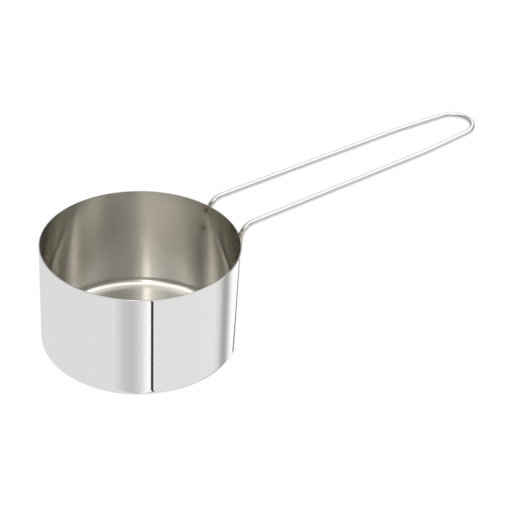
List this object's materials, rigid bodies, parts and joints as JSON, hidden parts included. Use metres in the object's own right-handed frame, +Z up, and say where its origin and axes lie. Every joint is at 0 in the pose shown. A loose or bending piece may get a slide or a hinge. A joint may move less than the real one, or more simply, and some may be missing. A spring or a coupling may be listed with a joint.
{
  "type": "measuring cup",
  "caption": "One-cup bar measure: straight-sided drawn steel cup with a welded bent-wire handle that rises gently and ends in a hanging loop.",
  "frame": {"origin": "centre of the cup's flat base, on the surface it rests on", "axes": "+Z up along the cup's axis; +X from the cup's axis to the closed end of the handle"},
  "size_m": [0.2086, 0.082, 0.0624],
  "materials": {
    "cup_steel": "polished outside, fine satin inside",
    "wire_steel": "bright drawn wire, electropolished",
    "weld_steel": "matt, heat tinted"
  },
  "bodies": {
    "root": {"cup_body": "cup_steel", "handle_wire": "wire_steel", "weld_left_upper": "weld_steel", "weld_left_lower": "weld_steel", "weld_right_upper": "weld_steel", "weld_right_lower": "weld_steel"}
  },
  "joints": []
}
